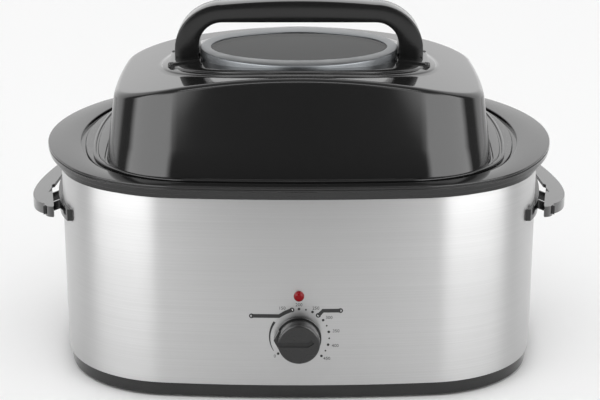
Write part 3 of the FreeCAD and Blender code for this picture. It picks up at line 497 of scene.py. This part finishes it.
def domeRings(inset, shoulderSteps=12, crownSteps=9):
    # wall lines from the dome's foot to its crest, a rolled shoulder that touches wall and
    # crown, then the crown in to the low step
    foot = ring("dome", -inset, lidSizes["foot"])
    top = ring("crest", -inset, lidSizes["crest"])
    wall = top - foot
    wall /= np.linalg.norm(wall, axis=1)[:, None]
    where = foot.copy()
    for _ in range(20):
        gap = crownZ(where[:, 0], -inset) - where[:, 2]
        where = where + wall * (gap / wall[:, 2])[:, None]
    inward = ring("crest", -inset - 1, 0) - ring("crest", -inset, 0)
    slope = -where[:, 0] / np.sqrt(lidSizes["crownRadius"] ** 2 - where[:, 0] ** 2)
    inward[:, 2] = inward[:, 0] * slope
    inward /= np.linalg.norm(inward, axis=1)[:, None]
    turn = np.arccos(np.clip(np.sum(wall * inward, axis=1), -1, 1))
    radius = lidSizes["shoulder"] - inset
    cut = radius * np.tan(turn / 2)
    start = where - wall * cut[:, None]
    side = inward - wall * np.cos(turn)[:, None]
    side /= np.linalg.norm(side, axis=1)[:, None]
    rings = [foot, foot + (start - foot) * 0.33, foot + (start - foot) * 0.67]
    for step in range(shoulderSteps + 1):
        angle = turn * step / shoulderSteps
        across = side * (radius * (1 - np.cos(angle)))[:, None]
        rings.append(start + wall * (radius * np.sin(angle))[:, None] + across)
    edge = rings[-1]
    angle = np.arctan2(edge[:, 1] / lidSizes["lowStep"][1], edge[:, 0] / lidSizes["lowStep"][0])
    goal = ellipseRing(angle, lidSizes["lowStep"], lambda x: crownZ(x, -inset))
    lift = edge[:, 2] - crownZ(edge[:, 0], -inset)
    for step in range(1, crownSteps + 1):
        part = step / crownSteps
        flat = edge + (goal - edge) * part
        flat[:, 2] = crownZ(flat[:, 0], -inset) + lift * (1 - part) ** 2
        rings.append(flat)
    return rings, angle


outerDome, angle = domeRings(0)
innerDome, innerAngle = domeRings(lidSizes["wall"])


def stepRings(angle):
    # two low oval steps, each a soft S from one level of the crown to the next, then a flat
    # part in to the window's hole
    rings = []
    level, rise, slant = 0.0, lidSizes["step"], lidSizes["slant"]
    for size in (lidSizes["lowStep"], lidSizes["highStep"]):
        for part in np.linspace(0, 1, 6)[1:]:
            lift = level + rise * part * part * (3 - 2 * part)
            here = (size[0] - slant * part, size[1] - slant * part)
            rings.append(ellipseRing(angle, here, lambda x: crownZ(x, lift)))
        level += rise
    start = [value - slant for value in lidSizes["highStep"]]
    for part, lift in ((0.35, level), (0.7, level), (0.97, level), (1.0, lidSizes["holeEdge"])):
        here = tuple(a + (b - a) * part for a, b in zip(start, lidSizes["hole"]))
        rings.append(ellipseRing(angle, here, lambda x: crownZ(x, lift)))
    return rings


def lidFoot():
    # from the skirt's lower inside edge out round the flange, over a bead and two grooves, to
    # the foot of the dome
    skirt, skirtLow, low = lidSizes["skirt"], lidSizes["skirtLow"], lidSizes["flangeLow"]
    top, groove, footGroove = lidSizes["flangeTop"], lidSizes["groove"], lidSizes["footGroove"]
    corners = [
        ("pan", skirt - lidSizes["wall"], skirtLow), ("pan", skirt, skirtLow), ("pan", skirt, low),
        ("brim", 0, low), ("brim", 0, top), ("brim", -2.6, lidSizes["bead"]),
        ("brim", -3.4, groove), ("brim", -5.2, groove), ("brim", -6.2, 243.3),
        ("dome", 2.4, top), ("dome", 1.6, footGroove), ("dome", 0.1, footGroove), ("dome", 0.05, 243.0),
    ]
    eases = [0, 0.4, 0, 0.8, 0.8, 0.6, 0.3, 0.3, 0.6, 0.5, 0.2, 0.1, 0]
    return [ring(*spot) for spot in rounded(corners, eases, 3)]


innerFoot = [ring("pan", lidSizes["drip"], lidSizes["foot"]),
             ring("pan", lidSizes["drip"], lidSizes["flangeLow"]),
             ring("pan", lidSizes["skirt"] - lidSizes["wall"], lidSizes["flangeLow"])]
hole = ellipseRing(innerAngle, lidSizes["hole"], lambda x: crownZ(x, -lidSizes["wall"]))
lidRings = lidFoot() + outerDome[1:] + stepRings(angle) + [hole] + innerDome[::-1] + innerFoot
lid = ringPiece("lidShell", lidRings, lidBlack, 30)
carry(lid, "lid", "lid_black", "lid_shell")

# window ring
bezelSizes = {"ring": (111, 101), "glass": (99, 73.5), "top": 342.5, "seat": 337.5,
              "outerEase": 1.6, "innerEase": 0.8, "rebate": 2.3, "width": 6.4,
              "outerFoot": 2.2, "underside": 1.0, "count": 160}


def bezelRings():
    # an upright outer wall, an eased edge, a flat satin top and a wall down to the glass
    ringSize, glassSize, top = bezelSizes["ring"], bezelSizes["glass"], bezelSizes["top"]
    angle = np.linspace(0, 2 * math.pi, bezelSizes["count"] + 1)[:-1]
    rings = [ellipseRing(angle, ringSize, lambda x: crownZ(x, bezelSizes["outerFoot"]))]
    for outer, size, turn in ((True, ringSize, -1), (False, glassSize, 1)):
        ease = bezelSizes["outerEase" if outer else "innerEase"]
        for part in (np.linspace(0, 1, 6) if outer else np.linspace(1, 0, 5)):
            bend = part * math.pi / 2
            grow = turn * ease * (1 - math.cos(bend))
            spot = (size[0] + grow, size[1] + grow)
            rings.append(ellipseRing(angle, spot, top - ease + ease * math.sin(bend)))
    rings.append(ellipseRing(angle, glassSize, bezelSizes["seat"]))
    rebate = tuple(value + bezelSizes["rebate"] for value in glassSize)
    rings.append(ellipseRing(angle, rebate, bezelSizes["seat"] - 1))
    under = tuple(value - bezelSizes["width"] for value in ringSize)
    rings.append(ellipseRing(angle, under, lambda x: crownZ(x, bezelSizes["underside"])))
    return rings


bezel = ringPiece("windowBezel", bezelRings(), satinRing, 30)
carry(bezel, "lid", "satin_ring", "window_bezel")

# lid handle

archSizes = {"out": 138.6, "in": 111.5, "foot": 322, "outTurn": (54, 51), "inTurn": (26, 26),
             "shoulder": 392, "under": 372, "bow": 900, "half": 17.5, "ease": 1.8, "footMiddle": 123}


def archHalf(side, turn, level, bow):
    # up the leg, round the corner and along the bar to its middle, as rows of (x, z)
    foot = archSizes["foot"]
    rows = [(side, foot + (level - turn[1] - foot) * part / 3) for part in range(3)]
    for angle in np.linspace(0, math.pi / 2, 15):
        rows.append((side - turn[0] * (1 - math.cos(angle)), level - turn[1] * (1 - math.sin(angle))))
    start = side - turn[0]
    for x in np.linspace(start, 0, 8)[1:]:
        # the upper line is bowed, the lower one flat
        rise = math.sqrt(bow ** 2 - x ** 2) - math.sqrt(bow ** 2 - start ** 2) if bow else 0
        rows.append((x, level + rise))
    return np.array(rows)


def archRings():
    # a boxed section with eased edges, carried from one foot to the other
    outer = archHalf(archSizes["out"], archSizes["outTurn"], archSizes["shoulder"], archSizes["bow"])
    inner = archHalf(archSizes["in"], archSizes["inTurn"], archSizes["under"], 0)
    outer = np.concatenate([outer, outer[-2::-1] * [-1, 1]])
    inner = np.concatenate([inner, inner[-2::-1] * [-1, 1]])
    ease, half = archSizes["ease"], archSizes["half"]
    rings = []
    for (x0, z0), (x1, z1) in zip(outer, inner):
        length = math.hypot(x1 - x0, z1 - z0)
        way = ((x1 - x0) / length, (z1 - z0) / length)
        points = []
        for s, y, begin in ((ease, half - ease, 90), (ease, ease - half, 180),
                            (length - ease, ease - half, 270), (length - ease, half - ease, 0)):
            for angle in np.radians(begin + np.linspace(0, 90, 4)):
                along = s + ease * math.cos(angle)
                points.append((x0 + way[0] * along, y + ease * math.sin(angle), z0 + way[1] * along))
        rings.append(np.array(points))
    return rings


archEnds = [(side * archSizes["footMiddle"], 0, archSizes["foot"]) for side in (1, -1)]
arch = closeEnd("lidHandle", archRings(), gripBlack, archEnds, 30)
carry(arch, "lid", "black_plastic", "lid_handle")

footSizes = {"centre": 125.5, "half": (20.5, 33), "corner": 6, "height": 3.4, "ease": 1.4,
             "seat": 2.6, "sunk": 0.6, "crown": 4.5}


def footOutline(inset):
    # a rounded rectangle, eight points to a corner
    halfX, halfY = footSizes["half"][0] - inset, footSizes["half"][1] - inset
    corner = footSizes["corner"] - inset
    points = []
    for turn, (sx, sy) in enumerate(((1, 1), (-1, 1), (-1, -1), (1, -1))):
        for angle in np.radians(90 * turn + np.linspace(0, 90, 8)):
            points.append((sx * (halfX - corner) + corner * math.cos(angle),
                           sy * (halfY - corner) + corner * math.sin(angle)))
    return np.array(points)


def footRings(side):
    # a thin plate that follows the crown, with an eased upper edge; the last row closes on
    # the flat top
    height, ease = footSizes["height"], footSizes["ease"]
    profile = ((0, -footSizes["sunk"]), (0, height - ease), (0.4, height - 0.4), (ease, height),
               (footSizes["crown"], height))
    rings = []
    for inset, level in profile:
        flat = footOutline(inset)
        x = flat[:, 0] + side * footSizes["centre"]
        rings.append(np.column_stack([x, flat[:, 1], crownZ(x, footSizes["seat"] + level)]))
    return rings


# radius and height of a button's rows, then how far in from the plate's corner it stands
lugSizes = {"rows": ((3.4, -1.5), (3.4, 0.6), (3.1, 1.2), (2.3, 1.7), (1.0, 1.9)), "top": 1.95,
            "inX": 4, "inY": 3, "seat": 5.0, "count": 24}


def lugRings(side, end):
    # a small round button at the outer end of a foot's edge
    x = side * (footSizes["centre"] + footSizes["half"][0] - lugSizes["inX"])
    y = end * (footSizes["half"][1] - lugSizes["inY"])
    angle = np.linspace(0, 2 * math.pi, lugSizes["count"] + 1)[:-1]
    level = crownZ(np.array([x]), lugSizes["seat"])[0]
    rings = []
    for radius, height in lugSizes["rows"]:
        rings.append(np.column_stack([x + radius * np.cos(angle), y + radius * np.sin(angle),
                                      np.full(len(angle), level + height)]))
    return rings, [(x, y, level + lugSizes["rows"][0][1]), (x, y, level + lugSizes["top"])]


for side, word in ((-1, "Left"), (1, "Right")):
    place = side * footSizes["centre"]
    middle = float(crownZ(np.array([place]), footSizes["seat"])[0])
    plateEnds = [(place, 0, middle - footSizes["sunk"]), (place, 0, middle + footSizes["height"])]
    plate = closeEnd("handleFoot" + word, footRings(side), gripBlack, plateEnds, 35)
    carry(plate, "lid", "black_plastic")
    for end, tip in ((-1, "Front"), (1, "Back")):
        rings, lugEnds = lugRings(side, end)
        lug = closeEnd("handleLug" + word + tip, rings, gripBlack, lugEnds, 35)
        carry(lug, "lid", "black_plastic")

# printed dial

print("dial")
dialSizes = {
    "level": 73, "dots": 32, "labels": 36.6, "aside": 3.2, "step": 13.2, "big": 1.45, "small": 0.95,
    "text": 5.0, "zero": 229.6, "zeroIn": 3, "proud": 0.14, "palerProud": 0.22, "thick": 0.12,
    "line": 4.2, "ring": 2.7, "pale": 1.2, "sweep": (304, 240), "sweepRadius": 31,
    "sweepWidth": (2.6, 0.5),
}
# the lines of the two callouts, from their far ends, with z counted from the knob's middle
callouts = [[(-50, 24), (-21, 24), (-14.5, 28), (-7.4, 31)],
            [(20.4, 24.9), (25.5, 30), (43.7, 30)]]


class Print:
    def __init__(self):
        self.points = []
        self.faces = []

    def add(self, points, faces):
        start = len(self.points)
        self.points += [tuple(point) for point in points]
        self.faces += [[start + corner for corner in face] for face in faces]

    def disc(self, x, z, radius):
        angle = np.linspace(0, 2 * math.pi, 21)[:-1]
        points = [(x + radius * math.cos(a), z + radius * math.sin(a)) for a in angle]
        self.add(points, [list(range(len(points)))])

    def strip(self, middle, widths):
        # a band of changing width along a line of points
        middle = np.array(middle, dtype=float)
        along = np.gradient(middle, axis=0)
        along /= np.linalg.norm(along, axis=1)[:, None]
        across = np.stack([-along[:, 1], along[:, 0]], axis=1)
        half = np.asarray(widths, dtype=float)[:, None] / 2
        rows = np.stack([middle - across * half, middle + across * half], axis=1).reshape(-1, 2)
        self.add(rows, [[2 * i, 2 * i + 1, 2 * i + 3, 2 * i + 2] for i in range(len(middle) - 1)])

    def number(self, words, x, z, size):
        curve = bpy.data.curves.new("number", "FONT")
        curve.body = words
        curve.align_x, curve.align_y = "CENTER", "CENTER"
        curve.resolution_u = 3
        holder = bpy.data.objects.new("number", curve)
        mesh = bpy.data.meshes.new_from_object(holder)
        self.add([(x + size * v.co.x, z + size * v.co.y) for v in mesh.vertices],
                 [list(polygon.vertices) for polygon in mesh.polygons])
        bpy.data.objects.remove(holder)
        bpy.data.meshes.remove(mesh)
        bpy.data.curves.remove(curve)


def dialSpot(degrees, radius):
    # degrees run clockwise from straight up
    turn = math.radians(degrees)
    return radius * math.sin(turn), dialSizes["level"] + radius * math.cos(turn)


def dialPrint():
    # a dot for every step, with a number at each second one; the sweep is a tapering arc
    marks, pale = Print(), Print()
    step = dialSizes["step"]
    for count in range(-2, 11):
        big = count % 2 == 0
        spot = dialSpot(count * step, dialSizes["dots"])
        marks.disc(*spot, dialSizes["big" if big else "small"])
        if big:
            x, z = dialSpot(count * step, dialSizes["labels"])
            aside = dialSizes["aside"] * math.sin(math.radians(count * step))
            marks.number(str(200 + 25 * count), x + aside, z, dialSizes["text"])
    zero, zeroIn = dialSizes["zero"], dialSizes["zeroIn"]
    marks.disc(*dialSpot(zero, dialSizes["dots"] - zeroIn), dialSizes["big"])
    marks.number("0", *dialSpot(zero, dialSizes["labels"] - zeroIn), dialSizes["text"])
    for line in callouts:
        path = [(x, dialSizes["level"] + z) for x, z in line]
        marks.strip(path, [dialSizes["line"]] * len(path))
        for x, z in path:
            marks.disc(x, z, dialSizes["line"] / 2)
        for x, z in (path[0], path[-1]):
            marks.disc(x, z, dialSizes["ring"])
            pale.disc(x, z, dialSizes["pale"])
    turns = np.linspace(*dialSizes["sweep"], 25)
    marks.strip([dialSpot(turn, dialSizes["sweepRadius"]) for turn in turns],
                np.linspace(*dialSizes["sweepWidth"], 25))
    return marks, pale


def onWrap(x, z, proud):
    # the front of the wrap is an arc of the shell's front radius
    depth, front = outlines["shell"][1], outlines["shell"][4]
    return (x, -(depth - front + math.sqrt(front ** 2 - x ** 2)) - proud, z)


ink = plainPlastic("dialInk", (0.012, 0.012, 0.012), (0.4, 0.5))
paleInk = plainPlastic("dialPaleInk", (0.62, 0.62, 0.62), (0.4, 0.5))


def thinPlate(name, spots, faces, thickness, material):
    # flat faces at their outer level, given a thickness inwards
    mesh = bpy.data.meshes.new(name)
    mesh.from_pydata([(x * mm, (y + shift) * mm, z * mm) for x, y, z in spots], [], faces)
    mesh.materials.append(material)
    piece = bpy.data.objects.new(name, mesh)
    scene.collection.objects.link(piece)
    solid = piece.modifiers.new("thickness", "SOLIDIFY")
    solid.thickness = thickness * mm
    solid.offset = -1.0
    return piece


marks, pale = dialPrint()
for name, drawn, proud, material in (("dialMarks", marks, dialSizes["proud"], ink),
                                     ("dialLights", pale, dialSizes["palerProud"], paleInk)):
    spots = [onWrap(x, z, proud) for x, z in drawn.points]
    printed = thinPlate(name, spots, drawn.faces, dialSizes["thick"], material)
    carry(printed, "housing", "black_plastic")

# painted shade: a near-black thin plate laid in the knob's groove, darkening it as the groove's
# shade would; (x, z) from the knob's middle, with its hooked end at the right
grooveSizes = {"front": -224.0, "thick": 0.8, "start": -22.5, "half": 2.45}
start, half = grooveSizes["start"], grooveSizes["half"]
grooveShadeOutline = [(start, -half), (9.8, -half), (15.6, 1.4), (12.9, 4.3), (9.1, half), (start, half)]
# painted shade: a near-black matt colour that stands in for the shade inside the knob's groove
grooveShadeBlack = plainPlastic("grooveShadeBlack", (0.002, 0.002, 0.002), (0.6, 0.7))
spots = [(x, grooveSizes["front"], dialSizes["level"] + z) for x, z in grooveShadeOutline]
grooveShade = thinPlate("knobGrooveShade", spots, [list(range(len(grooveShadeOutline)))], grooveSizes["thick"], grooveShadeBlack)
carry(grooveShade, "knob", "knob_plastic")

# camera, floor and light

print("studio")
# lengths in millimetres, fitted to the photo's own view; shiftX is in picture widths
view = {"distance": 1911, "pitch": math.radians(17.8), "aim": 160, "lens": 99.0, "sensor": 36.0,
        "shiftX": 0.0017}
camera = bpy.data.objects.new("camera", bpy.data.cameras.new("camera"))
scene.collection.objects.link(camera)
scene.camera = camera
camera.data.lens = view["lens"]
camera.data.sensor_width = view["sensor"]
camera.location = (0, (shift - view["distance"] * math.cos(view["pitch"])) * mm,
                   (view["aim"] + view["distance"] * math.sin(view["pitch"])) * mm)
camera.rotation_euler = (math.pi / 2 - view["pitch"], 0, 0)
camera.data.shift_x = view["shiftX"]

# The floor and the top light are in metres. around holds the studio's brightness by direction,
# from straight ahead of the oven (0) to straight behind it (1).
studio = {
    "floor": 6.0, "topBox": 4.5, "topSize": (1.4, 0.35), "topPlace": (0, -0.65, 2.2),
    "topAim": (0, 0, 0.2), "plain": 1.0, "glossy": 4.2, "overhead": 0.08, "overheadFrom": 0.72,
    "overheadTo": 0.9,
    "around": [(0.0, 0.03), (0.095, 0.04), (0.135, 1.0), (0.46, 1.0), (0.515, 0.05), (0.60, 0.05),
               (0.65, 0.34), (1.0, 0.28)],
}
floorMaterial = newMaterial("paleFloor", color=grey(0.9), roughness=0.6)[0]
size = studio["floor"] / mm
floorCorners = [(-size, -size, 0), (size, -size, 0), (size, size, 0), (-size, size, 0)]
floor = makeObject("floor", floorCorners, [np.array([[0, 1, 2, 3]])], floorMaterial)

world = bpy.data.worlds.new("studioWorld")
scene.world = world
world.use_nodes = True
tree = world.node_tree
background = tree.nodes["Background"]


def mathNode(kind, *values):
    node = tree.nodes.new("ShaderNodeMath")
    node.operation = kind
    for socket, value in zip(node.inputs, values):
        if isinstance(value, (int, float)):
            socket.default_value = value
        else:
            tree.links.new(value, socket)
    return node.outputs["Value"]


def studioLevel():
    # dark straight ahead of the oven, a wide softbox on each side of the front, a dark gap at
    # each flank and a dimmer wall behind; overhead a steady dark grey
    where = tree.nodes.new("ShaderNodeTexCoord")
    parts = tree.nodes.new("ShaderNodeSeparateXYZ")
    tree.links.new(where.outputs["Generated"], parts.inputs["Vector"])
    sideways = mathNode("ABSOLUTE", parts.outputs["X"])
    ahead = mathNode("MULTIPLY", parts.outputs["Y"], -1.0)
    azimuth = mathNode("DIVIDE", mathNode("ARCTAN2", sideways, ahead), math.pi)
    around = ramp(tree, azimuth, studio["around"])
    up = spread(tree, parts.outputs["Z"], 0.0, 1.0, studio["overheadFrom"], studio["overheadTo"])
    low = mathNode("MULTIPLY", around, mathNode("SUBTRACT", 1.0, up))
    level = mathNode("ADD", low, mathNode("MULTIPLY", up, studio["overhead"]))
    return mathNode("MULTIPLY", level, studio["glossy"])


# reflections see the studio; matt surfaces, the camera and what passes through glass see a
# plain white one
rays = tree.nodes.new("ShaderNodeLightPath")
brighter = mathNode("SUBTRACT", studioLevel(), studio["plain"])
extra = mathNode("MULTIPLY", rays.outputs["Is Glossy Ray"], brighter)
tree.links.new(mathNode("ADD", extra, studio["plain"]), background.inputs["Strength"])
background.inputs["Color"].default_value = grey(1.0)

lamp = bpy.data.lights.new("topBox", "AREA")
lamp.shape = "RECTANGLE"
lamp.size, lamp.size_y = studio["topSize"]
lamp.energy = studio["topBox"]
topBox = bpy.data.objects.new("topBox", lamp)
scene.collection.objects.link(topBox)
place, aim = Vector(studio["topPlace"]), Vector(studio["topAim"])
topBox.location = place
topBox.rotation_euler = (aim - place).to_track_quat("-Z", "Y").to_euler()

scene.view_settings.view_transform = "Standard"
